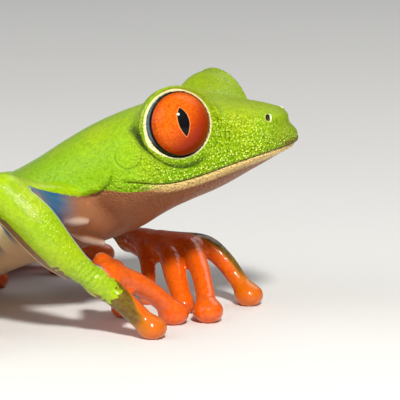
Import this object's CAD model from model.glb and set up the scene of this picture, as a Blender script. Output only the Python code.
"""Looks of the red-eyed tree frog: one moist skin over its solids, two glossy eyes, a pale studio.

The forms are in millimetres of a frog 60 mm long, as in the part's source, with x = 0 between the
eyes, +X towards the snout, +Y to the frog's left and the floor at z = 0. The skin is their melted
surface, with lids, lips, folds and wrinkles added. Its markings are procedural: each vertex holds
smooth distances to the borders of the markings, and the material draws the colours from these.
"""

from collections import namedtuple

import bmesh
import bpy
import numpy as np
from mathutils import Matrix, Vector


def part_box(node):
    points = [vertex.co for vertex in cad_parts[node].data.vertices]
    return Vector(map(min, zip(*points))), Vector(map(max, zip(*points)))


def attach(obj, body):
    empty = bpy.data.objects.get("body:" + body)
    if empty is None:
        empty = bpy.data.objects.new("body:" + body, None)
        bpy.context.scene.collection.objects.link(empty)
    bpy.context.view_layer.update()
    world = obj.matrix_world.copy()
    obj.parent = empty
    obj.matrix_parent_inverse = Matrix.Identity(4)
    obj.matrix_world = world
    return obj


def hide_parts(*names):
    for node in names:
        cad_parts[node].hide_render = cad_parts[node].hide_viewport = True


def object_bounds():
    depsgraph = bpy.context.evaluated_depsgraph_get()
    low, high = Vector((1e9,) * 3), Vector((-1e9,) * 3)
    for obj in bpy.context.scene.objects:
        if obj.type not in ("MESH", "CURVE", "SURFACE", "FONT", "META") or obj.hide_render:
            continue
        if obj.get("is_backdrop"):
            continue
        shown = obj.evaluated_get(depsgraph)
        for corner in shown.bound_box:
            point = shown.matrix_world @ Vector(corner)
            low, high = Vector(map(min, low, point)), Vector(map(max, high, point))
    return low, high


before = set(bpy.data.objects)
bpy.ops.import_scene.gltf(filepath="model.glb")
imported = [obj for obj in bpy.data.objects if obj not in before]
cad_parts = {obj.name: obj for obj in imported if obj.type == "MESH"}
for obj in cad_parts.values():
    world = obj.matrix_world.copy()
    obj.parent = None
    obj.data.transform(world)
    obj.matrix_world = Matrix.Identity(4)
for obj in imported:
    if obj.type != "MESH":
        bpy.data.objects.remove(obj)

import openvdb
from mathutils import Vector

CAD_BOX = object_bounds()

# ---------------- sizes
MM = 0.001
VOXEL = 0.15  # grid step of the melted skin
GRID_LOW = (-50, -31, -1.6)  # box of that grid
GRID_HIGH = (13.5, 31, 28.5)
FAR = 9.0  # distance kept where no form is near
SIDES = {"right": -1, "left": 1}  # sign of y

# Head and trunk, {x: value}
SNOUT_X = 11.9
VENT_X = -44.5
SNOUT_ROUND = 2.6
VENT_ROUND = 8.0
HALF_WIDTH = {
    12: 2.4, 11: 3.0, 10: 3.8, 9: 4.6, 6: 6.3, 3: 7.6, 0: 8.8, -3: 9.6, -6: 10.0, -8.5: 9.7,
    -11: 9.7, -14: 9.5, -18: 9.0, -23: 8.5, -28: 7.5, -34: 6.2, -40: 5.2, -45: 4.0,
}
TOP = {
    12: 23.2, 10: 23.6, 8: 24.0, 5.5: 24.3, 0: 24.7, -4: 24.0, -6.5: 23.2, -9: 22.2, -11.5: 21.0,
    -14.5: 19.2, -18: 16.9, -22: 14.7, -27: 12.9, -33: 10.2, -39: 7.8, -45: 6.4,
}
BOTTOM = {
    12: 19.2, 10: 18.5, 7.4: 17.0, 3.4: 14.6, 0: 13.0, -2: 12.0, -4: 10.8, -5.5: 9.8, -8: 8.6,
    -12: 7.0, -16: 5.6, -20: 4.2, -24: 2.4, -28: 0.6, -32: -0.5, -40: -0.5, -45: 0.6,
}
WIDEST = {
    12: 20.4, 9.8: 19.5, 5.6: 18.0, 0: 16.4, -4.7: 16.1, -8: 15.6, -12: 14.8, -17: 13.2,
    -22: 9.8, -28: 6.2, -34: 4.4, -40: 3.4, -45: 3.2,
}
UPPER_SQUARENESS = 2.35
LOWER_SQUARENESS = {12: 2.0, -1: 2.0, -7: 1.7, -12: 1.5, -18: 1.6, -25: 2.0, -45: 2.0}

# Eyes
EYE_RING = {"right": (0.45, -7.15, 22.45), "left": (1.1, 7.1, 22.6)}  # the head is turned a little
EYE_AXIS = (0.594, -0.789, 0.156)  # gaze of the right eye
EYEBALL = 3.72
EYE_DEPTH = 1.2  # of the eyeball's centre behind the ring's
EYE_DOME = 4.2  # skin over the eyeball
BROW = (1.05, 1.5, 0.5)  # from the right ring's centre
BROW_RADIUS = 2.35
LID_RING = 3.86
LID_THICKNESS = 0.36
LID_TILT = 0.07  # slope of the lid's plane against the gaze, deeper behind than in front
LID_SLOPE = 0.8  # of the brow that rises outside the lid
LID_BACK = 0.15  # how far the lid's middle is behind the ring's centre
LID_WIDER = 0.36  # how oval the lid is; 0 is round, and 0.36 makes it 7% longer than high
LID_CREASE = 4.45  # radius of the crease below and behind the lid
IRIS_AXIS = (0.636, -0.743, 0.207)
IRIS_RADIUS = 4.36  # measured along the eyeball
PUPIL_AXIS = (0.505, -0.833, 0.227)
PUPIL_HEIGHT = 3.25
PUPIL_WIDTH = 1.22
PUPIL_LEAN = 11.5  # degrees that the slit's top leans back
CORNEA_BULGE = 0.02
PLUG_EDGE = 3.3  # radius of the solid eye's plug
PLUG_BACK = 2.4  # how far it reaches behind the ring's centre

# Limbs, (x, y, z, radius)
UPPER_ARM = {
    "right": [(-10.0, -5.5, 11.8, 3.0), (-12.7, -11.2, 13.5, 2.25), (-16.2, -17.3, 15.7, 2.15)],
    "left": [(-10.0, 5.5, 11.8, 3.0), (-13.2, 11.0, 12.6, 2.25), (-17.6, 16.4, 12.6, 1.9)],
}
FOREARM = {
    "right": [
        (-16.2, -17.3, 15.7, 2.15), (-13.2, -16.9, 12.9, 2.45), (-10.6, -16.1, 9.7, 2.1),
        (-8.0, -15.1, 7.2, 1.4), (-6.6, -14.5, 6.0, 1.2),
    ],
    "left": [
        (-17.6, 16.4, 12.6, 1.9), (-15.8, 15.2, 10.2, 2.25), (-13.4, 13.2, 7.6, 1.8),
        (-10.8, 11.0, 5.7, 1.4),
    ],
}
PALM = {
    "right": [(-6.6, -14.5, 6.0, 1.2), (-5.8, -12.9, 6.1, 1.5), (-5.5, -11.9, 6.0, 1.3)],
    "left": [(-10.8, 11.0, 5.7, 1.4), (-7.6, 8.8, 5.8, 1.6), (-4.8, 7.2, 5.9, 1.3)],
}
FINGERS = {
    "right": [
        [(-6.6, -13.4, 6.4, 1.2), (-7.2, -11.0, 7.5, 1.0), (-8.2, -8.8, 6.8, 0.85), (-8.9, -7.4, 5.0, 0.8)],
        [(-6.0, -12.8, 6.2, 1.2), (-6.1, -9.7, 6.6, 1.0), (-6.7, -6.8, 4.2, 0.95), (-6.9, -4.7, 1.4, 0.95)],
        [(-5.8, -12.6, 6.2, 1.4), (-4.0, -10.2, 5.3, 1.25), (-2.0, -8.0, 3.4, 1.1), (-0.9, -6.7, 1.9, 1.1)],
        [
            (-6.3, -14.3, 5.7, 1.25), (-4.2, -14.1, 4.2, 1.25), (-2.3, -13.9, 2.5, 1.2),
            (-1.3, -13.7, 1.6, 1.1),
        ],
    ],
    "left": [
        [(-9.4, 9.4, 5.5, 1.2), (-7.6, 6.6, 4.8, 0.95), (-6.6, 4.4, 3.0, 0.85), (-6.2, 3.0, 1.3, 0.85)],
        [(-7.2, 8.0, 5.6, 1.3), (-4.3, 4.9, 5.4, 1.35), (-2.7, 2.0, 3.6, 1.25), (-1.3, -0.2, 1.6, 1.1)],
        [
            (-6.0, 7.4, 5.9, 1.3), (-2.0, 5.3, 6.2, 1.25), (-0.1, 2.3, 4.9, 1.15),
            (1.6, -1.2, 3.0, 1.05), (2.6, -3.5, 1.6, 1.1),
        ],
        [
            (-6.0, 7.8, 5.9, 1.3), (0.2, 6.5, 6.0, 1.2), (2.1, 6.3, 4.4, 1.1),
            (3.5, 6.0, 2.7, 1.05), (4.5, 5.6, 1.6, 1.1),
        ],
    ],
}
FINGER_DISCS = [1.0, 1.35, 1.7, 1.6]
THIGH = [
    (-38.5, -4.2, 6.2, 4.2), (-31.0, -11.6, 8.2, 3.6), (-25.0, -17.4, 8.8, 2.7),
    (-21.0, -21.4, 8.4, 2.0),
]
SHANK = [
    (-21.0, -21.4, 8.4, 2.0), (-28.2, -20.6, 8.8, 2.4), (-36.6, -16.4, 7.4, 1.95),
    (-46.4, -10.8, 4.2, 1.5),
]
TARSUS = [(-46.4, -10.8, 3.4, 1.4), (-40.4, -15.0, 1.3, 1.05), (-33.6, -16.6, 1.1, 1.2)]
TOE_ROOT = (-33.6, -16.6, 1.2, 1.2)
TOES = {
    "right": [
        [(-29.8, -13.4, 1.3, 0.8), (-27.0, -11.6, 1.1, 0.85)],
        [(-29.0, -14.0, 1.3, 0.85), (-25.4, -12.4, 2.0, 0.8), (-22.8, -11.6, 1.3, 0.9)],
        [(-27.6, -17.0, 1.5, 0.85), (-22.8, -17.8, 2.4, 0.8), (-19.8, -18.4, 1.3, 0.9)],
        [(-27.2, -19.8, 1.5, 0.85), (-21.4, -23.8, 2.4, 0.8), (-18.2, -26.2, 1.3, 0.9)],
        [(-29.8, -20.6, 1.4, 0.85), (-26.2, -25.2, 2.2, 0.8), (-24.2, -28.0, 1.3, 0.9)],
    ],
    "left": [
        [(-31.4, 12.6, 1.3, 0.8), (-30.4, 10.0, 1.1, 0.85)],
        [(-30.0, 12.6, 1.3, 0.85), (-27.6, 9.4, 1.6, 0.8), (-26.2, 7.2, 1.3, 0.9)],
        [(-28.4, 16.0, 1.5, 0.85), (-24.4, 15.8, 2.4, 0.8), (-22.0, 15.9, 1.3, 0.9)],
        [(-27.4, 18.6, 1.5, 0.85), (-22.0, 21.4, 2.4, 0.8), (-19.0, 23.2, 1.3, 0.9)],
        [(-29.6, 20.2, 1.4, 0.85), (-25.6, 24.6, 2.2, 0.8), (-23.2, 27.2, 1.3, 0.9)],
    ],
}
TOE_DISCS = [1.2, 1.4, 1.5, 1.55, 1.45]
DISC_HEIGHT = 0.82  # of its width
FLOOR_PRESS = 0.22  # how far a disc is pressed flat on the floor
HANGING = 2.5  # a disc's centre above this height is in the air
WEB_THICKNESS = 0.5
FINGER_WEB = 0.2  # how far webs reach from the digits' second station to the third
TOE_WEB = 0.5

# ---------------- face and markings
MOUTH = {14: 20.35, 13: 20.1, 9.8: 19.3, 5.6: 17.9, 3.2: 17.0, 0: 16.15, -4.7: 16.25, -8.0: 16.35}
MOUTH_CORNER = -4.7
SNOUT_NOTCH = [(10.9, -2.7, 22.3, 0.7), (11.8, 0, 22.3, 0.9), (10.9, 2.7, 22.3, 0.7)]
NOSTRIL = (9.3, 22.9)  # x and z
NOSTRIL_AXIS = (0.55, -1, 0.25)  # the way the right one opens
NOSTRIL_RADIUS = 0.2
NOSTRIL_RIM = 0.42
EAR = (-4.7, 19.2)  # x and z
EAR_RADIUS = 1.5
JAW_FOLD = {17.2: -6.4, 15.8: -6.9, 14.6: -8.2}  # {z: x}
GREEN_TONGUE = {  # how the green runs on over the back of the hand
    "right": [(-8.8, -15.5, 7.4, 1.8), (-6.6, -15.3, 6.3, 1.5), (-5.0, -15.1, 5.3, 1.1)],
    "left": [(-12.4, 12.2, 7.4, 1.5), (-10.8, 11.2, 6.7, 1.2), (-9.4, 10.6, 6.4, 0.8)],
}
ARMPIT_FOLDS = [  # pale creases of skin between the upper arm and the chest, on the right
    [(-11.2, -11.9, 12.1, 0.3), (-10.3, -10.9, 11.9, 0.5), (-9.4, -9.9, 11.7, 0.3)],
    [(-11.2, -9.1, 10.2, 0.25), (-10.4, -7.8, 9.5, 0.55), (-8.8, -5.9, 8.5, 0.35)],
]
FRINGE_WAY = (-0.615, -0.315, -0.722)  # from the forearm's middle, on the right
WRINKLES = {"right": (-7.2, -15.0, 6.9), "left": (-11.6, 11.4, 6.3)}  # their middle, at the wrist
WRINKLE_SPACING = 0.55
BAR_SPACING = 4.2  # of the cream bars along the flank
# Green strips along the limbs: the way they face on the right, their radius and half their angle
UPPER_ARM_STRIP = ((0.05, -0.1, 1), 2.3, 0.85)
FOREARM_STRIP = ((0.43, -0.88, 0.21), 2.1, 1.13)
THIGH_STRIP = ((0.1, -0.1, 1), 3.0, 0.85)
SHANK_STRIP = ((0.1, -0.4, 1), 2.2, 1.3)
TARSUS_STRIP = ((0.1, -0.6, 1), 1.2, 0.9)
OLIVE_WAY = {"right": (-0.4, -0.85, 0.1), "left": (0.5, 0.2, 0.8)}  # olive side of the last finger
OLIVE_WRAP = {"right": 0.9, "left": 0.0}  # how far it wraps around that finger's base
# Lower border of the green on head and trunk, {x: z}
GREEN_EDGE = {
    14: 20.3, 9.8: 19.3, 5.6: 17.9, 3.2: 17.0, 1.5: 16.2, -1: 15.6, -4.7: 15.1, -7.4: 15.2, -8.6: 14.8,
    -10.7: 13.9, -14: 13.8, -16.7: 13.4, -20: 11.9, -25: 9.4, -32: 7.0, -39: 5.9, -45: 6.2,
}
# Border between the blue flank and the cream belly, {x: z}
BELLY_EDGE = {
    14: 26, -6: 20, -10.5: 15.5, -13: 13.2, -16: 10.8, -20: 7.6, -26: 4.2, -34: 2.2, -45: 2.0,
}
REGION_BLEND = 0.12  # over which the looks of neighbouring parts melt together

# Relief of the skin
LIP_SWELL = 0.12
MOUTH_DEPTH = 0.24
CHIN_LINE = 0.05
EAR_RIM = 0.07
EAR_DEPTH = 0.05
FOLD_SWELL = 0.12
FOLD_DEPTH = 0.22
CREASE_DEPTH = 0.45
LOBE_SWELL = 0.35  # of the green above the armpit
LOBE_DEPTH = 0.25
WRINKLE_HEIGHT = 0.012
GRANULE_BUMP = 0.1
WRINKLE_BUMP = 0.009
GRANULES = 4.0  # in each millimetre

# ---------------- camera and light
AIM = (3.1, -8.15, 14.4)  # what the camera looks at, in the forms' millimetres
AZIMUTH = 16.0
ELEVATION = 10.5
CAMERA_DISTANCE = 330.0
VIEW_WIDTH = 43.5  # width of the frame at that distance
LIGHTS = [  # name, azimuth, elevation, distance and size in metres, power, colour
    ("key", 27.0, 45.0, 0.42, 0.055, 2.25, (1.0, 0.98, 0.94)),
    ("fill", -55.0, 30.0, 0.6, 0.5, 1.5, (1.0, 1.0, 1.0)),
    ("back", 165.0, 50.0, 0.6, 0.4, 0.8, (1.0, 1.0, 1.0)),
]
SKY = (0.9, 0.95, 1.0)
SKY_STRENGTH = 0.17
FLOOR_SIZE = 3.0
FLOOR_DROP = 0.00002  # keeps the floor clear of the feet

# ---------------- colours
GREEN = (0.26, 0.48, 0.002)
YELLOW_GREEN = (0.46, 0.55, 0.002)
DUSK_GREEN = (0.22, 0.30, 0.002)
DARK_GREEN = (0.10, 0.20, 0.002)
CREASE_GREEN = (0.03, 0.06, 0.004)
GRANULE = (0.85, 0.92, 0.25)
BLUE = (0.02, 0.10, 0.22)
GREY_BLUE = (0.08, 0.13, 0.19)
BAR_CREAM = (0.72, 0.62, 0.30)
CREAM = (0.66, 0.45, 0.24)
ARMPIT_CREAM = (0.92, 0.84, 0.70)
THROAT = (0.30, 0.12, 0.05)
ORANGE = (0.70, 0.085, 0.002)
ORANGE_LIGHT = (0.76, 0.14, 0.003)
AMBER = (0.58, 0.15, 0.002)
OLIVE = (0.16, 0.11, 0.003)
OLIVE_BROWN = (0.13, 0.055, 0.004)
PIPING = (0.62, 0.70, 0.42)
FRINGE = (0.80, 0.58, 0.32)
LIP = (0.80, 0.58, 0.22)
LIP_TIP = (0.12, 0.03, 0.008)
LID_CREAM = (0.85, 0.80, 0.42)
RIM = (0.45, 0.40, 0.12)
GLEAM = (0.85, 0.88, 0.70)
DARK = (0.03, 0.02, 0.008)
BLACK = (0.004, 0.004, 0.005)
SCLERA = (0.10, 0.14, 0.18)
IRIS_ORANGE = (0.78, 0.14, 0.004)
IRIS_RED = (0.50, 0.045, 0.003)
IRIS_DEEP = (0.25, 0.012, 0.002)
PUPIL_RIM = (0.95, 0.40, 0.12)
FLOOR = (0.72, 0.71, 0.69)
FLOOR_LIGHT = (0.78, 0.77, 0.75)


# ---------------- small mathematics
def smooth_curve(x, knots):
    """Cubic through the knots {x: value}, with the slope at each knot taken from its neighbours."""
    at = np.array(sorted(knots), float)
    value = np.array([knots[k] for k in sorted(knots)], float)
    slope = np.gradient(value, at)
    x = np.clip(x, at[0], at[-1])
    i = np.clip(np.searchsorted(at, x) - 1, 0, len(at) - 2)
    width = at[i + 1] - at[i]
    t = (x - at[i]) / width
    rise = value[i + 1] - value[i]
    start = slope[i] * width - rise
    end = rise - slope[i + 1] * width
    return value[i] + t * rise + t * (1 - t) * (start * (1 - t) + end * t)


def melt(a, b, blend):
    """Union of two distances with a fillet about as wide as blend."""
    share = np.clip(0.5 + 0.5 * (b - a) / blend, 0, 1)
    return b + (a - b) * share - blend * share * (1 - share)


def step(value, low, high):
    """Smooth way from 0 at low to 1 at high."""
    t = np.clip((value - low) / (high - low), 0, 1)
    return t * t * (3 - 2 * t)


def hump(value, middle, width):
    return np.exp(-((value - middle) / width) ** 2)


def unit(vector):
    vector = np.array(vector, float)
    return vector / np.linalg.norm(vector)


def point(station):
    return np.array(station[:3], float)


def on_side(value, side):
    """A point, direction or station of the right side, mirrored where the side is left."""
    x, y, z, *rest = value
    return (x, -y * SIDES[side], z, *rest)


def mirrored(stations, side):
    """Stations of a right limb, on that side."""
    return [on_side(station, side) for station in stations]


# ---------------- forms: a distance and its box
Form = namedtuple("Form", "distance low high")


def smooth_path(stations, steps=6):
    """Points and radii along a smooth curve through (x, y, z, radius) stations."""
    stations = np.array(stations, float)
    lengths = np.linalg.norm(np.diff(stations[:, :3], axis=0), axis=1)
    along = np.concatenate([[0], np.cumsum(lengths)])
    places = np.linspace(0, along[-1], steps * len(lengths) + 1)
    return np.stack([smooth_curve(places, dict(zip(along, column))) for column in stations.T], 1)


def limb(stations):
    """Tapered tube along a smooth curve through (x, y, z, radius) stations."""
    path = smooth_path(stations)

    def distance(x, y, z):
        best = FAR
        for (ax, ay, az, ar), (bx, by, bz, br) in zip(path, path[1:]):
            dx, dy, dz = bx - ax, by - ay, bz - az
            t = ((x - ax) * dx + (y - ay) * dy + (z - az) * dz) / (dx * dx + dy * dy + dz * dz)
            t = np.clip(t, 0, 1)
            away = (x - ax - t * dx) ** 2 + (y - ay - t * dy) ** 2 + (z - az - t * dz) ** 2
            best = np.minimum(best, np.sqrt(away) - ar - t * (br - ar))
        return best

    reach = path[:, 3].max()
    return Form(distance, path[:, :3].min(0) - reach, path[:, :3].max(0) + reach)


def ball(centre, radius, flat=1.0):
    """Sphere, or with flat under 1 a lens that lies level."""
    cx, cy, cz = centre

    def distance(x, y, z):
        return (np.sqrt((x - cx) ** 2 + (y - cy) ** 2 + ((z - cz) / flat) ** 2) - radius) * flat

    return Form(distance, np.array(centre) - radius, np.array(centre) + radius)


def across_axis(centre, axis, wide, x, y, z):
    """Way along an axis and out from it; a ring of even way out is longer along the vector wide."""
    way = (x - centre[0], y - centre[1], z - centre[2])
    along = sum(w * a for w, a in zip(way, axis))
    sideways = sum(w * a for w, a in zip(way, wide))
    return along, np.sqrt(np.maximum(sum(w * w for w in way) - along ** 2 - sideways ** 2, 0))


def ring(centre, axis, radius, thickness, wide=(0, 0, 0)):
    """Torus around an axis."""

    def distance(x, y, z):
        along, out = across_axis(centre, axis, wide, x, y, z)
        return np.hypot(out - radius, along) - thickness

    reach = 1.05 * radius + thickness
    return Form(distance, np.array(centre) - reach, np.array(centre) + reach)


def funnel(centre, axis, radius, slope, wide):
    """All that lies in front of a round face and of the cone that opens from its edge."""

    def distance(x, y, z):
        along, out = across_axis(centre, axis, wide, x, y, z)
        return slope * np.maximum(out - radius, 0) - along

    reach = radius + 1.0
    return Form(distance, centre - reach, centre + reach)


def sheet(a, b, c, thickness):
    """Membrane of even thickness that spans a triangle."""
    normal = unit(np.cross(b - a, c - a))

    def edge(p, q, x, y, z):
        """Distance to the edge from p to q, and whether a point is on its inner side."""
        d = q - p
        t = ((x - p[0]) * d[0] + (y - p[1]) * d[1] + (z - p[2]) * d[2]) / (d @ d)
        t = np.clip(t, 0, 1)
        away = (x - p[0] - t * d[0]) ** 2 + (y - p[1] - t * d[1]) ** 2 + (z - p[2] - t * d[2]) ** 2
        side = np.cross(normal, d)
        inner = (x - p[0]) * side[0] + (y - p[1]) * side[1] + (z - p[2]) * side[2] >= 0
        return np.sqrt(away), inner

    def distance(x, y, z):
        rim = FAR
        inside = True
        for p, q in ((a, b), (b, c), (c, a)):
            away, inner = edge(p, q, x, y, z)
            rim = np.minimum(rim, away)
            inside = inside & inner
        level = np.abs((x - a[0]) * normal[0] + (y - a[1]) * normal[1] + (z - a[2]) * normal[2])
        return np.where(inside, level, rim) - thickness / 2

    corners = np.stack([a, b, c])
    return Form(distance, corners.min(0) - thickness, corners.max(0) + thickness)


def trunk_share(x, y, z):
    """How far out a point is on the trunk's section, less 1: negative inside, positive outside."""
    to_snout = np.clip((x - SNOUT_X + SNOUT_ROUND) / SNOUT_ROUND, 0, 0.999)
    to_vent = np.clip((VENT_X + VENT_ROUND - x) / VENT_ROUND, 0, 0.999)
    cap = np.sqrt(1 - to_snout ** 2) * np.sqrt(1 - to_vent ** 2)
    widest = smooth_curve(x, WIDEST)
    above = (smooth_curve(x, TOP) - widest) * cap
    below = (widest - smooth_curve(x, BOTTOM)) * cap
    across = np.abs(y) / (smooth_curve(x, HALF_WIDTH) * cap)
    level = z - widest
    n = UPPER_SQUARENESS
    upper = (across ** n + (np.maximum(level, 0) / above) ** n) ** (1 / n)
    n = smooth_curve(x, LOWER_SQUARENESS)
    lower = (across ** n + (np.maximum(-level, 0) / below) ** n) ** (1 / n)
    return np.where(level > 0, upper, lower) - 1


def trunk():
    """Head and trunk lofted along X, from superellipse sections that close at snout and vent."""

    def distance(x, y, z):
        share = trunk_share(x, y, z)
        steepness = np.sqrt(sum(slope ** 2 for slope in np.gradient(share, VOXEL)))
        past_ends = np.maximum(x - SNOUT_X, VENT_X - x)
        return np.maximum(share / np.clip(steepness, 0.02, 1), past_ends)

    return Form(distance, (VENT_X, -11, -1.5), (SNOUT_X, 11, 26))


def trunk_side(x, z):
    """How far from the middle the head's side is at a place seen from the side."""
    low, high = 0.0, 12.0
    for _ in range(30):
        middle = (low + high) / 2
        if trunk_share(x, middle, z) < 0:
            low = middle
        else:
            high = middle
    return low


class Body:
    """The melted forms, as a distance on a regular grid."""

    def __init__(self, low, high):
        self.low = np.array(low, float)
        self.axes = [np.arange(a, b, VOXEL, dtype=np.float32) for a, b in zip(low, high)]
        self.value = np.full([len(axis) for axis in self.axes], FAR, np.float32)

    def window(self, form, fillet):
        """The part of the grid that a form changes, and its distances there."""
        margin = fillet + 2 * VOXEL
        cuts = tuple(
            slice(*np.searchsorted(axis, (a - margin, b + margin)))
            for axis, a, b in zip(self.axes, form.low, form.high)
        )
        x, y, z = (axis[cut] for axis, cut in zip(self.axes, cuts))
        return cuts, form.distance(x[:, None, None], y[None, :, None], z[None, None, :])

    def add(self, form, fillet):
        cuts, distance = self.window(form, fillet)
        self.value[cuts] = melt(self.value[cuts], distance, fillet)

    def carve(self, form, fillet):
        cuts, distance = self.window(form, fillet)
        self.value[cuts] = -melt(-self.value[cuts], distance, fillet)

    def surface(self):
        """Vertices in millimetres, and quads, of the zero level."""
        grid = openvdb.FloatGrid()
        grid.copyFromArray(self.value)
        points, quads = grid.convertToQuads(0.0)
        return largest_piece(points * VOXEL + self.low, quads)


def largest_piece(points, faces):
    """The points and faces that hang together with most of the surface, without stray bits."""
    label = np.arange(len(points))
    while True:
        lower = label.copy()
        np.minimum.at(lower, faces.ravel(), np.repeat(label[faces].min(1), 4))
        lower = lower[lower]
        if np.array_equal(lower, label):
            break
        label = lower
    names, sizes = np.unique(label, return_counts=True)
    kept = label == names[np.argmax(sizes)]
    new_index = np.cumsum(kept) - 1
    return points[kept], new_index[faces[kept[faces[:, 0]]]]


# ---------------- the frog's forms
def eye_place(side):
    """Centre of the lid ring and the direction of the gaze."""
    return np.array(EYE_RING[side]), unit(on_side(EYE_AXIS, side))


def eyeball_centre(side):
    centre, axis = eye_place(side)
    return centre - EYE_DEPTH * axis


def eye_ways(side):
    """Directions ahead and up across the gaze."""
    _, axis = eye_place(side)
    ahead = unit(np.cross(axis, (0, 0, 1))) * SIDES[side]
    return ahead, unit(np.cross(ahead, axis)) * SIDES[side]


def lid_place(side):
    """Centre of the lid, and the vector along which it is wider."""
    ahead, _ = eye_ways(side)
    return eye_place(side)[0] - LID_BACK * ahead, LID_WIDER * ahead


def lid_axis(side):
    """The way the lid's plane faces."""
    ahead, _ = eye_ways(side)
    return unit(eye_place(side)[1] - LID_TILT * ahead)


def add_eye_dome(body, side):
    centre, _ = eye_place(side)
    lid, wide = lid_place(side)
    body.add(ball(eyeball_centre(side), EYE_DOME), fillet=1.6)
    body.add(ball(centre + on_side(BROW, side), BROW_RADIUS), fillet=1.6)
    body.add(ring(lid, lid_axis(side), LID_RING, LID_THICKNESS, wide), fillet=0.5)


def carve_eye(body, side):
    lid, wide = lid_place(side)
    body.carve(funnel(lid, lid_axis(side), LID_RING, LID_SLOPE, wide), fillet=0.25)
    body.carve(ball(eyeball_centre(side), EYEBALL + 0.03), fillet=0.12)


def add_digits(body, digits, discs, web_reach):
    """Fingers or toes with round discs at their tips and webs between their bases."""
    for digit, disc in zip(digits, discs):
        body.add(limb(digit), fillet=0.9)
        body.add(ball(disc_centre(digit, disc), disc, DISC_HEIGHT), fillet=0.6)
    for one, other in zip(digits, digits[1:]):
        root = (point(one[0]) + point(other[0])) / 2
        tips = [point(d[1]) + web_reach * (point(d[2]) - point(d[1])) for d in (one, other)]
        body.add(sheet(root, *tips, WEB_THICKNESS), fillet=0.5)


def disc_centre(digit, disc):
    tip = point(digit[-1])
    centre = tip + 0.5 * disc * unit(tip - point(digit[-2]))
    if centre[2] < HANGING:
        centre[2] = disc * DISC_HEIGHT - FLOOR_PRESS
    return centre


def toes(side):
    root = on_side(TOE_ROOT, side)
    return [[root, *toe] for toe in TOES[side]]


def on_trunk(side, x, z):
    """Place on the skin of head or trunk, seen from the side at x and z."""
    return np.array((x, SIDES[side] * trunk_side(x, z), z))


def nostril_slit(side):
    place = on_trunk(side, *NOSTRIL)
    return [(*(place + (0, 0, rise)), NOSTRIL_RADIUS) for rise in (-0.2, 0.2)]


def fold_path(side):
    """The fold behind the jaw, which is deeper further down."""
    places = [on_trunk(side, x, z) for z, x in sorted(JAW_FOLD.items(), reverse=True)]
    return [(*place, 0.02 + 0.05 * i) for i, place in enumerate(places)]


def fringe(side):
    """Ridge of skin along the outer edge of the forearm."""
    away = unit(on_side(FRINGE_WAY, side))
    path = smooth_path(FOREARM[side])
    path = path[len(path) // 10: -len(path) // 6]
    return [(*(p[:3] + (p[3] + 0.08) * away), 0.2) for p in path]


def melted_body():
    body = Body(GRID_LOW, GRID_HIGH)
    body.add(trunk(), fillet=1.0)
    for side in SIDES:
        add_eye_dome(body, side)
        body.add(limb(UPPER_ARM[side]), fillet=1.2)
        body.add(limb(FOREARM[side]), fillet=0.5)
        body.add(limb(fringe(side)), fillet=0.35)
        body.add(limb(PALM[side]), fillet=0.9)
        add_digits(body, FINGERS[side], FINGER_DISCS, FINGER_WEB)
        body.add(limb(mirrored(THIGH, side)), fillet=2.4)
        body.add(limb(mirrored(SHANK, side)), fillet=0.4)
        body.add(limb(mirrored(TARSUS, side)), fillet=0.4)
        add_digits(body, toes(side), TOE_DISCS, TOE_WEB)
    for side in SIDES:
        for fold in ARMPIT_FOLDS:
            body.add(limb(mirrored(fold, side)), fillet=0.6)
        carve_eye(body, side)
        out = unit(on_side(NOSTRIL_AXIS, side))
        body.add(ring(on_trunk(side, *NOSTRIL), out, NOSTRIL_RIM, thickness=0.13), fillet=0.3)
        body.carve(limb(nostril_slit(side)), fillet=0.1)
        body.carve(limb(fold_path(side)), fillet=0.3)
    body.carve(limb(SNOUT_NOTCH), fillet=0.6)
    return body


# ---------------- fields over the skin
def follow(path, places):
    """For each place the distance to a limb, how far along it (0 to 1) and the way out from it."""
    best = np.full(len(places), np.inf)
    along = np.zeros(len(places))
    out = np.zeros((len(places), 3))
    last = len(path) - 1
    for i, (a, b) in enumerate(zip(path, path[1:])):
        d = b[:3] - a[:3]
        t = np.clip((places - a[:3]) @ d / (d @ d), 0, 1)
        away = places - a[:3] - t[:, None] * d
        length = np.linalg.norm(away, axis=1)
        distance = length - a[3] - t * (b[3] - a[3])
        nearer = distance < best
        best = np.where(nearer, distance, best)
        along = np.where(nearer, (i + t) / last, along)
        out[nearer] = (away / np.maximum(length, 1e-6)[:, None])[nearer]
    return best, along, out


def trunk_distance(places):
    """Distance to the trunk's surface, from how steeply its section grows there."""
    x, y, z = places.T
    reach = 0.1
    share = trunk_share(x, y, z)
    slopes = [
        trunk_share(*(places + reach * axis).T) - trunk_share(*(places - reach * axis).T)
        for axis in np.eye(3)
    ]
    steepness = np.sqrt(sum(slope ** 2 for slope in slopes)) / (2 * reach)
    past_ends = np.maximum(x - SNOUT_X, VENT_X - x)
    return np.maximum(share / np.clip(steepness, 0.05, 1), past_ends)


LOOKS = ("green", "orange", "cream", "piping", "olive", "lobe", "grain", "tips")


class Region:
    """One part of the body: how near it is, and the looks that its colours are drawn from."""

    def __init__(self, distance, **looks):
        self.distance = distance
        self.looks = {name: np.broadcast_to(looks.get(name, 0.0), len(distance)) for name in LOOKS}


def strip(out, side, facing, radius, half_angle, wider=0.0):
    """Distance in from the edge of a strip of skin that runs along a limb, on one side of it."""
    angle = np.arccos(np.clip(out @ unit(on_side(facing, side)), -1, 1))
    return radius * (half_angle + wider - angle)


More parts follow.
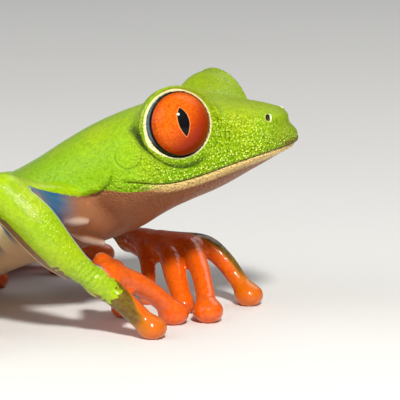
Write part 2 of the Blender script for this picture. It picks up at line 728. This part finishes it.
def trunk_region(places):
    x, _, z = places.T
    green = z - smooth_curve(x, GREEN_EDGE)
    cream = step(smooth_curve(x, BELLY_EDGE) - z, -1.3, 1.5)
    back = step(z - smooth_curve(x, TOP), -1.6, -0.2)
    face = step(x, -6, 0) * (1 - 0.7 * step(x, 8.5, 11))
    jaw = step(x, -9, -6) * hump(green, 0.3, 1.2)
    shoulder = step(x, -28, -18) * (1 - back)
    grain = 0.17 + 0.14 * shoulder + 0.7 * face * (1 - 0.85 * back) + 0.5 * jaw
    lobe = step(x, -19, -16) * (1 - step(x, -8.6, -7.6))
    piping = 0.5 * step(x, -35, -39)
    return Region(
        trunk_distance(places), green=green, cream=cream, lobe=lobe, grain=grain, tips=grain ** 2,
        piping=piping,
    )


def digit_distance(places, digit, disc):
    """Distance to a finger or toe with its disc, how far along it and the way out from it."""
    distance, along, out = follow(smooth_path(digit), places)
    from_disc = np.linalg.norm(places - disc_centre(digit, disc), axis=1) - disc
    return np.minimum(distance, from_disc), along, out


def arm_regions(places, side):
    """Upper arm, forearm, palm and fingers of one side."""
    distance, along, out = follow(smooth_path(UPPER_ARM[side]), places)
    green = np.maximum(4 * (along - 0.86), strip(out, side, *UPPER_ARM_STRIP))
    inner = 1 - step(along, 0.3, 0.6)
    lobe = 1 - step(along, 0.45, 0.8)
    yield Region(distance, green=green, cream=inner, lobe=lobe, grain=0.3)

    tongue = -follow(smooth_path(GREEN_TONGUE[side]), places)[0]
    distance, along, out = follow(smooth_path(FOREARM[side]), places)
    green = strip(out, side, *FOREARM_STRIP, 1.3 * step(along, 0.16, 0.0))
    green = np.maximum(np.minimum(green, 11 * (0.97 - along)), np.minimum(tongue, green + 0.45))
    above = step(out @ unit(on_side((0.8, 0.1, 0.6), side)), -0.2, 0.5)
    below = 1 - above
    orange = 0.9 * (above * step(green, -0.5, -1.3) + below)
    band = np.arccos(np.clip(out @ unit(on_side((0.47, -0.73, 0.5), side)), -1, 1))
    tips = 1.3 * hump(band, 0, 0.5) * step(along, 0.0, 0.15) * step(along, 1.0, 0.75)
    yield Region(
        distance, green=green, orange=orange, piping=0.6 * above, olive=0.9 * below, grain=0.5,
        tips=tips,
    )

    hand = np.maximum(tongue, -2)
    distance, _, _ = follow(smooth_path(PALM[side]), places)
    yield Region(distance, green=hand, orange=1.0, grain=0.1)
    for i, (digit, disc) in enumerate(zip(FINGERS[side], FINGER_DISCS)):
        distance, along, out = digit_distance(places, digit, disc)
        olive = 0.0
        if i == 3:
            edge = 0.2 - OLIVE_WRAP[side] * step(along, 0.8, 0.3)
            olive = step(out @ unit(OLIVE_WAY[side]), edge, edge + 0.6)
            olive = olive * (1 - 0.5 * step(along, 0.75, 1.0))
            olive = np.maximum(olive, 0.28 * step(along, 0.7, 0.95))
        yield Region(distance, green=hand, orange=1.0, olive=olive, grain=0.1)


def leg_regions(places, side):
    """Thigh, shank, tarsus and toes of one side."""
    distance, along, out = follow(smooth_path(mirrored(THIGH, side), 16), places)
    green = strip(out, side, *THIGH_STRIP, 0.7 * step(along, 0.3, 0.0))
    below = 0.7 * step(-out[:, 2], 0.1, 0.9)
    yield Region(distance, green=green, orange=below, piping=0.5, grain=0.4)
    distance, along, out = follow(smooth_path(mirrored(SHANK, side)), places)
    green = strip(out, side, *SHANK_STRIP, 0.8 * step(along, 0.88, 1.0))
    yield Region(distance, green=green, orange=0.7, piping=1.0, grain=0.6)
    distance, along, out = follow(smooth_path(mirrored(TARSUS, side)), places)
    green = strip(out, side, *TARSUS_STRIP, 1.2 * step(along, 0.18, 0.0))
    yield Region(distance, green=green, orange=1.0, piping=0.6, grain=0.3)
    for i, (digit, disc) in enumerate(zip(toes(side), TOE_DISCS)):
        distance, along, out = digit_distance(places, digit, disc)
        olive = step(out[:, 2], 0.2, 0.9) * (1 - step(along, 0.4, 0.8)) if i == 4 else 0.0
        yield Region(distance, green=-2.0, orange=1.0, olive=olive, grain=0.1)


def markings(places):
    """Fields that the colours are drawn from, {name: values}."""
    regions = [trunk_region(places)]
    for side in SIDES:
        regions += [*arm_regions(places, side), *leg_regions(places, side)]
    nearest = np.min([region.distance for region in regions], 0)
    nearness = [np.exp(-(region.distance - nearest) / REGION_BLEND) for region in regions]
    total = sum(nearness)
    weights = [share / total for share in nearness]
    fields = {
        name: sum(region.looks[name] * weight for region, weight in zip(regions, weights))
        for name in LOOKS
    }
    x, _, z = places.T
    trunk = weights[0]
    fields["trunk"] = trunk
    fields["head"] = trunk * step(x, -9, -8)
    fields["throat"] = step(x, -20, -12)
    fields["crown"] = step(z, 14, 24) * 0.5 + 0.5 * (1 - trunk)
    top = step(z - smooth_curve(x, TOP), -1.6, 0.4)
    fields["dusk"] = fields["head"] * step(x, -5, 1) * np.maximum(top, step(x, 8.5, 11))
    wave = np.cos((x + 0.35 * z) * 2 * np.pi / BAR_SPACING)
    fields["bars"] = trunk * step(wave, 0.2, 0.6) * step(x, -17, -20) * step(x, -37, -34)
    return fields


def fold_distance(places):
    """Distance across the fold behind the jaw, positive in front of it, and how strong it is."""
    x, _, z = places.T
    across = x - smooth_curve(z, JAW_FOLD)
    low, high = min(JAW_FOLD), max(JAW_FOLD)
    return across, step(z, low - 0.3, low + 0.2) * (1 - step(z, high - 0.8, high))


def lid_fields(places, side):
    """Distance past the lid's inner edge, and how strong the crease around the lid is."""
    centre, axis = eye_place(side)
    ahead, up = eye_ways(side)
    from_ring = places - centre
    way_out, way_ahead, way_up = from_ring @ axis, from_ring @ ahead, from_ring @ up
    lid = np.linalg.norm(places - eyeball_centre(side), axis=1) - EYEBALL
    lid += 5 * (1 - step(way_out, -1.1, -0.7))
    lid -= 0.16 * step(way_up - 2.5 * way_ahead, -1.0, 6.0)
    lid -= 0.2 * np.exp(-(way_ahead + 3.3) ** 2 - (way_up + 1.8) ** 2)
    crease = hump(np.hypot(way_ahead + LID_BACK, way_up), LID_CREASE, 0.27)
    crease *= step(way_ahead + 0.75 * way_up, 1.2, -2.2)
    crease *= step(way_out, -4.0, -3.0)
    return {"lid": lid, "crease": crease}


def side_fields(places, side):
    """Fields around the eye, ear and nostril of one side of the head."""
    fields = lid_fields(places, side)
    from_ear = places - on_trunk(side, *EAR)
    fields["ear"] = np.linalg.norm(from_ear, axis=1) - EAR_RADIUS
    fields["ear_low"] = 0.2 + 0.45 * step(from_ear[:, 2], 0.8, -0.9)
    fields["nostril"] = follow(np.array(nostril_slit(side)), places)[0]
    from_nostril = places - on_trunk(side, *NOSTRIL)
    fields["nostril_front"] = step(from_nostril @ (0.8, 0, 0.6), -0.05, 0.25)
    return fields


def wrist_fields(places):
    """Where the skin of the wrists is wrinkled, and the phase of the wrinkles."""
    fields = {name: np.zeros(len(places)) for name in ("wrist", "wrinkled", "wrinkle")}
    for side, middle in WRINKLES.items():
        path = smooth_path(FOREARM[side])
        way = unit(path[-1][:3] - path[0][:3])
        from_middle = places - middle
        away = np.linalg.norm(from_middle, axis=1)
        near = step(away, 3.8, 1.6)
        across = from_middle @ np.cross(way, (0, 0, 1))
        phase = from_middle @ way / WRINKLE_SPACING + 0.35 * np.sin(1.7 * across + 2)
        fields["wrist"] = np.maximum(step(away, 6.0, 4.5), fields["wrist"])
        fields["wrinkled"] = np.maximum(near, fields["wrinkled"])
        fields["wrinkle"] = np.where(near > 0, phase, fields["wrinkle"])
    return fields


def face_fields(places):
    """Distances to the mouth line and to folds of skin, and the fields of both sides."""
    x, y, z = places.T
    mouth = z - smooth_curve(x, MOUTH)
    fields = wrist_fields(places)
    fields["mouth"] = mouth
    fields["lip"] = step(x, MOUTH_CORNER - 0.6, MOUTH_CORNER + 0.2)
    fields["front_lip"] = step(x, -3.5, 0.0)
    fields["tip"] = step(x, 10.6, 11.3) * step(mouth, -0.02, 0.1) * (1 - step(mouth, 0.4, 0.9))
    for side in SIDES:
        near = y * SIDES[side] > 0
        for name, values in side_fields(places, side).items():
            fields[name] = np.where(near, values, fields.get(name, values))
    fields["fringe"] = np.min([follow(np.array(fringe(side)), places)[0] for side in SIDES], 0)
    folds = [smooth_path(mirrored(fold, side)) for fold in ARMPIT_FOLDS for side in SIDES]
    fields["armpit"] = np.min([follow(fold, places)[0] for fold in folds], 0)
    fields["fold"], strength = fold_distance(places)
    fields["fold_strength"] = strength * step(np.abs(y), 6.5, 7.5)
    return fields


def relief(places, marks, face):
    """How far each place moves along its normal: lips, ear, folds and wrinkles."""
    head = marks["head"]
    mouth = face["mouth"]
    lips = head * face["lip"] * (1 - 0.5 * step(places[:, 0], 9.5, 11.5))
    rise = lips * (LIP_SWELL * hump(mouth, 0.42, 0.32) - MOUTH_DEPTH * hump(mouth, -0.02, 0.13))
    rise -= lips * CHIN_LINE * hump(mouth, -0.75, 0.2)
    ear = face["ear"]
    rise -= head * (EAR_RIM * hump(ear, 0, 0.12) + EAR_DEPTH * (1 - step(ear, -0.5, 0.0)))
    fold = face["fold"]
    bend = FOLD_SWELL * hump(fold, -0.6, 0.5) - FOLD_DEPTH * hump(fold, 0, 0.2)
    rise += head * face["fold_strength"] * bend
    rise -= CREASE_DEPTH * marks["trunk"] * face["crease"]
    green = marks["green"]
    lobe = LOBE_SWELL * hump(green, 0.6, 0.6) - LOBE_DEPTH * hump(green, -0.3, 0.35)
    rise += marks["lobe"] * lobe
    wave = np.cos(2 * np.pi * face["wrinkle"])
    rise += WRINKLE_HEIGHT * face["wrinkled"] * wave * step(green, -0.3, 0.1)
    return rise


# ---------------- meshes
def frame_shift():
    """Where x = y = z = 0 of the forms lies in the frame, in metres, from the solid eyes' boxes."""
    low_right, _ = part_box("eye_right")
    _, high_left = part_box("eye_left")
    axis = unit(EYE_AXIS)
    back = EYE_RING["right"][0] - PLUG_BACK * axis[0] - PLUG_EDGE * np.sqrt(1 - axis[0] ** 2)
    aside = (EYE_RING["right"][1] + EYE_RING["left"][1]) / 2
    middle = (low_right[1] + high_left[1]) / 2
    return Vector((low_right[0] - back * MM, middle - aside * MM, 0))


SHIFT = frame_shift()


def add_object(name, data):
    obj = bpy.data.objects.new(name, data)
    bpy.context.scene.collection.objects.link(obj)
    return obj


def place_vertices(mesh, places):
    """Move the vertices to places in the forms' millimetres, and shade the mesh smooth."""
    metres = places * MM + np.array(SHIFT)
    mesh.vertices.foreach_set("co", metres.astype(np.float32).ravel())
    mesh.shade_smooth()
    mesh.update()


def basic_mesh(name, create, **sizes):
    """Mesh from one of bmesh's basic shapes."""
    shell = bmesh.new()
    create(shell, **sizes)
    mesh = bpy.data.meshes.new(name)
    shell.to_mesh(mesh)
    shell.free()
    return mesh


def normals_of(mesh):
    values = np.empty(3 * len(mesh.vertices), np.float32)
    mesh.vertex_normals.foreach_get("vector", values)
    return values.reshape(-1, 3)


def store(mesh, fields):
    for name, values in fields.items():
        attribute = mesh.attributes.new(name, "FLOAT", "POINT")
        attribute.data.foreach_set("value", values.astype(np.float32))


def make_skin():
    places, quads = melted_body().surface()
    mesh = bpy.data.meshes.new("skin")
    mesh.from_pydata(places, [], quads.tolist())
    place_vertices(mesh, places)
    marks = markings(places)
    face = face_fields(places)
    places += normals_of(mesh) * relief(places, marks, face)[:, None]
    places[:, 2] = np.maximum(places[:, 2], 0)
    place_vertices(mesh, places)
    store(mesh, {**marks, **face})
    return add_object("skin", mesh)


def make_eyeball(side):
    """Eyeball, with fields that tell where each place lies by the iris and the pupil."""
    gaze = unit(on_side(IRIS_AXIS, side))
    pupil_axis = unit(on_side(PUPIL_AXIS, side))
    mesh = basic_mesh("eye", bmesh.ops.create_icosphere, subdivisions=6, radius=1)
    out = np.empty(3 * len(mesh.vertices))
    mesh.vertices.foreach_get("co", out)
    out = out.reshape(-1, 3)
    bulge = 1 + CORNEA_BULGE * step(out @ gaze, 0.4, 1.0)
    place_vertices(mesh, eyeball_centre(side) + EYEBALL * bulge[:, None] * out)
    ahead, up = eye_ways(side)
    lit = out @ (0.6 * up - 0.8 * ahead)
    right = unit(np.cross(pupil_axis, (0, 0, 1)))
    up = np.cross(right, pupil_axis)
    lean = np.radians(PUPIL_LEAN) * SIDES[side]
    across = EYEBALL * (out @ (right * np.cos(lean) + up * np.sin(lean)))
    above = EYEBALL * (out @ (up * np.cos(lean) - right * np.sin(lean)))
    roundness = np.where(above > 0, 2.6, 1.8)  # the slit's top is blunter than its lower end
    slit = PUPIL_WIDTH / 2 * (1 - np.minimum(np.abs(above) / (PUPIL_HEIGHT / 2), 1.5) ** roundness)
    pupil = np.abs(across) - slit + 3 * (1 - step(out @ pupil_axis, 0.0, 0.1))
    side_way = unit(np.cross(gaze, (0, 0, 1)))
    turn = np.arctan2(out @ np.cross(side_way, gaze), out @ side_way)
    iris = EYEBALL * np.arccos(np.clip(out @ gaze, -1, 1))
    store(mesh, {"lit": lit, "above": above, "pupil": pupil, "turn": turn, "iris": iris})
    return add_object("eyeball_" + side, mesh)


# ---------------- materials
class Shader:
    """A material made node by node. Wherever a value goes in, a name stands for that field."""

    def __init__(self, name):
        self.fields = {}
        self.material = bpy.data.materials.new(name)
        self.material.use_nodes = True
        self.tree = self.material.node_tree
        self.surface = self.tree.nodes["Principled BSDF"]

    def node(self, kind, inputs, output=0, **settings):
        node = self.tree.nodes.new(kind)
        for name, value in settings.items():
            setattr(node, name, value)
        for socket, value in inputs.items():
            self.feed(node.inputs[socket], value)
        return node.outputs[output]

    def feed(self, socket, value):
        if isinstance(value, str):
            value = self.field(value)
        if isinstance(value, bpy.types.NodeSocket):
            self.tree.links.new(value, socket)
        elif isinstance(value, tuple) and socket.type == "RGBA":
            socket.default_value = (*value, 1)
        else:
            socket.default_value = value

    def field(self, name):
        if name not in self.fields:
            self.fields[name] = self.node("ShaderNodeAttribute", {}, "Fac", attribute_name=name)
        return self.fields[name]

    def math(self, operation, a, b=0.0):
        return self.node("ShaderNodeMath", {0: a, 1: b}, operation=operation)

    def add(self, a, b):
        return self.math("ADD", a, b)

    def times(self, first, *others):
        for other in others:
            first = self.math("MULTIPLY", first, other)
        return first

    def ramp(self, value, low, high, start=0.0, end=1.0):
        """Smooth way from start, where the value is low, to end, where it is high."""
        inputs = {"Value": value, "From Min": low, "From Max": high, "To Min": start, "To Max": end}
        return self.node("ShaderNodeMapRange", inputs, interpolation_type="SMOOTHSTEP")

    def line(self, value, half_width):
        """1 where the value is near 0, fading out at half_width."""
        return self.ramp(self.math("ABSOLUTE", value), half_width * 0.4, half_width, 1.0, 0.0)

    def mix(self, share, a, b):
        inputs = {"Factor": share, 6: a, 7: b}
        return self.node("ShaderNodeMix", inputs, 2, data_type="RGBA")

    def paint(self, colour, *layers):
        """A colour with others over it, each given as its share and itself."""
        for share, layer in layers:
            colour = self.mix(share, colour, layer)
        return colour

    def millimetres(self):
        place = self.node("ShaderNodeTexCoord", {}, "Object")
        return self.node("ShaderNodeVectorMath", {0: place, "Scale": 1 / MM}, operation="SCALE")

    def noise(self, vector, scale, detail, roughness=0.5):
        inputs = {"Vector": vector, "Scale": scale, "Detail": detail, "Roughness": roughness}
        return self.node("ShaderNodeTexNoise", inputs)

    def cells(self, vector, scale):
        return self.node("ShaderNodeTexVoronoi", {"Vector": vector, "Scale": scale}, "Distance")

    def bump(self, height, depth, **below):
        inputs = {"Height": height, "Distance": depth * MM, "Strength": 1.0, **below}
        return self.node("ShaderNodeBump", inputs)

    def finish(self, **inputs):
        for name, value in inputs.items():
            self.feed(self.surface.inputs[name.replace("_", " ")], value)
        return self.material


def under_colour(shader, broad, fine):
    """Blue flanks with cream bars, cream belly, tan throat, and orange hands and feet."""
    orange = shader.paint(
        ORANGE,
        (shader.ramp(fine, 0.3, 0.75), ORANGE_LIGHT),
        (shader.ramp("olive", 0.0, 0.5), AMBER),
        (shader.ramp("olive", 0.4, 1.0), shader.mix(shader.ramp(fine, 0.35, 0.65), OLIVE, OLIVE_BROWN)),
    )
    return shader.paint(
        BLUE,
        (shader.ramp(broad, 0.35, 0.65), GREY_BLUE),
        ("bars", BAR_CREAM),
        ("cream", shader.mix("throat", CREAM, THROAT)),
        ("orange", orange),
    )


def green_colour(shader, broad, fine, cell, grain, wrinkle):
    """Green with pale tips of granules, dark clefts between them, and wrinkles."""
    return shader.paint(
        GREEN,
        (shader.add("crown", shader.ramp(broad, 0.35, 0.75, -0.25, 0.25)), YELLOW_GREEN),
        (shader.times("dusk", 0.75), DUSK_GREEN),
        (shader.ramp(fine, 0.35, 0.7, 0.0, 0.35), DARK_GREEN),
        (shader.times(shader.ramp(cell, 0.1, 0.35, 0.75, 0.0), "tips"), GRANULE),
        (shader.times(shader.ramp(cell, 0.4, 0.75, 0.0, 0.3), grain), DARK_GREEN),
        (shader.ramp(wrinkle, 0.3, 1.0, 0.0, 0.08), PIPING),
        (shader.ramp(wrinkle, -0.3, -1.0, 0.0, 0.16), DARK_GREEN),
    )


def green_edge(shader, place, fine):
    """Distance in from the green's border, which wobbles a little and is torn at the wrists."""
    ragged = shader.ramp(shader.noise(place, 0.8, 3.0), 0.3, 0.7, -0.35, 0.3)
    marbled = shader.ramp(shader.noise(place, 1.5, 4.0), 0.3, 0.7, -0.5, 0.5)
    torn = shader.add(shader.times(ragged, "orange"), shader.times(marbled, "olive"))
    edge = shader.add("green", shader.ramp(fine, 0.2, 0.8, -0.03, 0.03))
    return shader.add(edge, shader.times(torn, "wrist"))


def details(shader):
    """Piping, folds, lips, eardrum, lids and nostrils, each as its share and its colour."""
    lip = shader.times(shader.ramp("mouth", -1.1, -0.65), shader.ramp("mouth", -0.06, 0.0, 1.0, 0.0))
    rim = shader.line(shader.add("nostril", -0.15), 0.14)
    return (
        (shader.times("piping", shader.line(shader.add("green", 0.04), 0.16)), PIPING),
        (shader.ramp("armpit", -0.25, 0.25, 0.75, 0.0), ARMPIT_CREAM),
        (shader.ramp("fringe", -0.03, 0.07, 0.9, 0.0), FRINGE),
        (shader.times(lip, "front_lip", "head"), LIP),
        (shader.times("tip", "head", 0.7), LIP_TIP),
        (shader.times(shader.line("mouth", 0.1), "lip", "head", 0.8), DARK),
        (shader.times(shader.line("ear", 0.13), "head", "ear_low"), DARK_GREEN),
        (shader.times(shader.line("fold", 0.16), "fold_strength", "head", 0.5), DARK_GREEN),
        (shader.times("crease", "trunk", 0.9), CREASE_GREEN),
        (shader.ramp("lid", 0.2, 0.28, 1.0, 0.0), LID_CREAM),
        (shader.times(rim, 0.6), shader.mix("nostril_front", RIM, GLEAM)),
        (shader.ramp("nostril", 0.0, 0.07, 1.0, 0.0), DARK),
    )


def skin_material():
    shader = Shader("frog_skin")
    place = shader.millimetres()
    broad = shader.noise(place, 0.22, 3.0)
    fine = shader.noise(place, 2.2, 3.0, 0.6)
    cell = shader.cells(place, GRANULES)
    grain = shader.times("grain", "trunk")
    drift = shader.times(shader.noise(place, 1.0, 3.0), 13.0)
    turns = shader.add(shader.times("wrinkle", 2 * np.pi), drift)
    wrinkle = shader.times(shader.math("COSINE", turns), "wrinkled")

    under = under_colour(shader, broad, fine)
    green = green_colour(shader, broad, fine, cell, grain, wrinkle)
    is_green = shader.ramp(green_edge(shader, place, fine), -0.06, 0.06)
    colour = shader.paint(under, (is_green, green), *details(shader))

    granules = shader.math("SUBTRACT", 1.0, shader.times(cell, cell, 2.2))
    rough = shader.times(shader.noise(place, 5.0, 2.0), "grain", 1.5)
    dimples = shader.times(shader.noise(place, 1.4, 1.0), "orange", 0.9)
    height = shader.add(shader.add(shader.times(granules, grain), rough), dimples)
    surface = shader.bump(wrinkle, WRINKLE_BUMP, Normal=shader.bump(height, GRANULE_BUMP))
    coat = shader.math("MAXIMUM", shader.ramp("cream", 0.0, 1.0, 0.5, 0.15), shader.times("orange", 0.8))
    return shader.finish(
        Base_Color=colour, Roughness=0.45, Specular_IOR_Level=0.1, Normal=surface,
        Coat_Weight=coat, Coat_Roughness=0.06, Coat_Normal=surface,
        Subsurface_Weight=0.12, Subsurface_Radius=(1.0, 0.5, 0.2), Subsurface_Scale=0.0008,
    )


def eye_material():
    shader = Shader("frog_eye")
    place = shader.millimetres()
    spoke = shader.node(
        "ShaderNodeCombineXYZ", {"X": shader.times("turn", 9.0), "Y": shader.times("iris", 2.2)}
    )
    rays = shader.noise(spoke, 1.6, 4.0, 0.6)
    web = shader.noise(place, 3.2, 4.0, 0.7)
    speckle = shader.cells(place, 6.5)
    around = shader.ramp("pupil", 0.05, 0.8, 1.0, 0.0)
    ends = shader.ramp(shader.math("ABSOLUTE", "above"), 1.1, 1.7, 0.0, 0.6)
    past_iris = shader.ramp("iris", IRIS_RADIUS + 0.34, IRIS_RADIUS + 0.5)
    white = shader.mix(shader.times(past_iris, shader.ramp("above", -2.2, -0.6)), BLACK, SCLERA)
    colour = shader.paint(
        IRIS_RED,
        (shader.ramp("lit", -0.65, 0.5), IRIS_ORANGE),
        (shader.ramp(web, 0.45, 0.6, 0.0, 0.65), IRIS_RED),
        (shader.times(around, ends), IRIS_RED),
        (shader.ramp(rays, 0.5, 0.68, 0.0, 0.55), IRIS_DEEP),
        (shader.ramp(speckle, 0.05, 0.3, 0.5, 0.0), IRIS_DEEP),
        (shader.ramp("lit", 0.2, -0.7, 0.0, 0.95), IRIS_DEEP),
        (shader.ramp("iris", 3.4, 4.2, 0.0, 0.5), IRIS_DEEP),
        (shader.ramp("pupil", 0.03, 0.12, 0.55, 0.0), PUPIL_RIM),
        (shader.ramp("iris", IRIS_RADIUS - 0.06, IRIS_RADIUS + 0.06), white),
        (shader.ramp("pupil", -0.03, 0.03, 1.0, 0.0), BLACK),
    )
    return shader.finish(
        Base_Color=colour, Roughness=0.5, Specular_IOR_Level=0.02,
        Coat_Weight=0.22, Coat_Roughness=0.02,
    )


def floor_material():
    shader = Shader("studio_floor")
    tone = shader.noise(shader.millimetres(), 0.01, 2.0)
    return shader.finish(Base_Color=shader.mix(tone, FLOOR, FLOOR_LIGHT), Roughness=0.7)


# ---------------- studio
def look_at_frog(obj, distance, azimuth, elevation):
    """Aim from that far away; azimuth 0 is the frog's right side, and 90 is its front."""
    target = Vector(AIM) * MM + SHIFT
    a, e = np.radians((azimuth, elevation))
    place = target + distance * Vector((np.sin(a) * np.cos(e), -np.cos(a) * np.cos(e), np.sin(e)))
    obj.location = place
    obj.rotation_euler = (target - place).to_track_quat("-Z", "Y").to_euler()


def add_camera():
    lens = bpy.data.cameras.new("camera")
    lens.sensor_width = 36.0
    lens.lens = lens.sensor_width * CAMERA_DISTANCE / VIEW_WIDTH
    lens.clip_start = 0.02
    camera = add_object("camera", lens)
    look_at_frog(camera, CAMERA_DISTANCE * MM, AZIMUTH, ELEVATION)
    bpy.context.scene.camera = camera


def add_light(name, azimuth, elevation, distance, size, power, colour):
    light = bpy.data.lights.new(name, "AREA")
    light.size = size
    light.energy = power
    light.color = colour
    look_at_frog(add_object(name, light), distance, azimuth, elevation)


def add_studio():
    add_camera()
    for light in LIGHTS:
        add_light(*light)
    world = bpy.data.worlds.new("studio")
    world.use_nodes = True
    background = world.node_tree.nodes["Background"]
    background.inputs["Color"].default_value = (*SKY, 1)
    background.inputs["Strength"].default_value = SKY_STRENGTH
    bpy.context.scene.world = world
    mesh = basic_mesh("floor", bmesh.ops.create_grid, x_segments=1, y_segments=1, size=FLOOR_SIZE)
    mesh.materials.append(floor_material())
    floor = add_object("floor", mesh)
    floor.location.z = -FLOOR_DROP
    floor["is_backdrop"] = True


# ---------------- the whole
def main():
    skin = make_skin()
    skin.data.materials.append(skin_material())
    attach(skin, "root")
    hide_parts(*(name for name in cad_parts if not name.startswith("eye_")))
    material = eye_material()
    for side in SIDES:
        eye = make_eyeball(side)
        eye.data.materials.append(material)
        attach(eye, "root")
        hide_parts("eye_" + side)
    add_studio()
    bpy.context.scene.view_settings.view_transform = "Standard"
    boxes = {"cad": CAD_BOX, "visual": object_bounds()}
    {name: [[float(v) for v in corner] for corner in box] for name, box in boxes.items()}


main()
